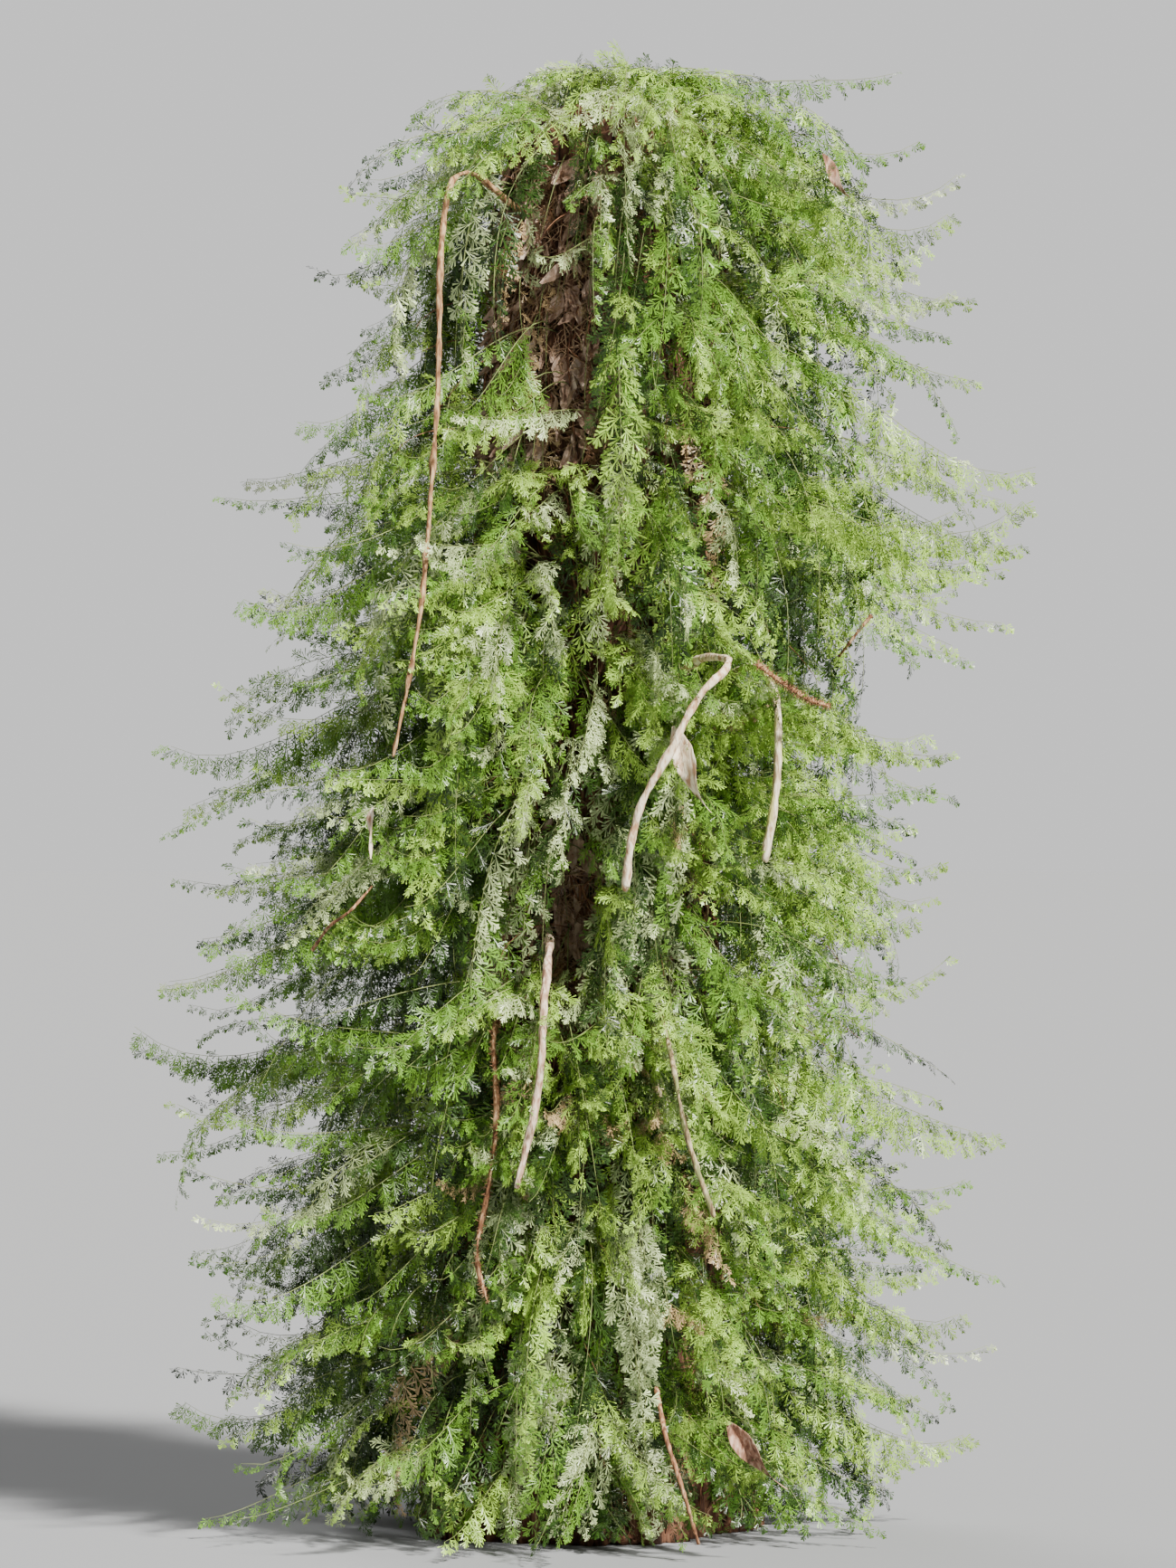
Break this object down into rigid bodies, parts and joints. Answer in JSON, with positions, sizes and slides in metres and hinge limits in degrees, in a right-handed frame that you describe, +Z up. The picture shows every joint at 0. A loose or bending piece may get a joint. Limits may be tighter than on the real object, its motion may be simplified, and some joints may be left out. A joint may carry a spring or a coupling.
{
  "type": "filmy fern",
  "caption": "Filmy fern clump: finely cut arching and hanging fronds around a leaning fibrous trunk, with creeping stems and dead stalks caught among them.",
  "frame": {"origin": "middle of the flat cut under the trunk, at ground level", "axes": "+Z up along the trunk, -Y towards the viewer of the picture, +X to the viewer's right"},
  "size_m": [0.5444, 0.4343, 0.8803],
  "materials": {
    "trunk": "matt, fibrous and rough, dark red-brown",
    "stem": "matt, wiry, brown",
    "dead_stalk": "matt, dry, bleached tan",
    "frond": "thin, slightly glossy, yellow-green to deep green"
  },
  "bodies": {
    "root": {"trunk": "trunk", "climbing_stem_1": "stem", "climbing_stem_2": "stem", "climbing_stem_3": "stem", "climbing_stem_4": "stem", "dead_stalk_long": "dead_stalk", "dead_stalk_hooked": "dead_stalk", "dead_stalk_right": "dead_stalk", "dead_stalk_pale": "dead_stalk", "dead_stalk_brown": "dead_stalk", "dead_stalk_low": "dead_stalk", "fronds_top_tuft": "frond", "fronds_ring1_1": "frond", "fronds_ring1_2": "frond", "fronds_ring1_3": "frond", "fronds_ring1_4": "frond", "fronds_ring1_5": "frond", "fronds_ring1_6": "frond", "fronds_ring2_1": "frond", "fronds_ring2_2": "frond", "fronds_ring2_3": "frond", "fronds_ring2_4": "frond", "fronds_ring2_5": "frond", "fronds_ring2_6": "frond", "fronds_ring3_1": "frond", "fronds_ring3_2": "frond", "fronds_ring3_3": "frond", "fronds_ring3_4": "frond", "fronds_ring3_5": "frond", "fronds_ring3_6": "frond", "fronds_ring4_1": "frond", "fronds_ring4_2": "frond", "fronds_ring4_3": "frond", "fronds_ring4_4": "frond", "fronds_ring4_5": "frond", "fronds_ring4_6": "frond", "fronds_ring5_1": "frond", "fronds_ring5_2": "frond", "fronds_ring5_3": "frond", "fronds_ring5_4": "frond", "fronds_ring5_5": "frond", "fronds_ring5_6": "frond", "fronds_ring6_1": "frond", "fronds_ring6_2": "frond", "fronds_ring6_3": "frond", "fronds_ring6_4": "frond", "fronds_ring6_5": "frond", "fronds_ring6_6": "frond", "fronds_ring7_1": "frond", "fronds_ring7_2": "frond", "fronds_ring7_3": "frond", "fronds_ring7_4": "frond", "fronds_ring7_5": "frond", "fronds_ring7_6": "frond", "fronds_ring8_1": "frond", "fronds_ring8_2": "frond", "fronds_ring8_3": "frond", "fronds_ring8_4": "frond", "fronds_ring8_5": "frond", "fronds_ring8_6": "frond"}
  },
  "joints": []
}
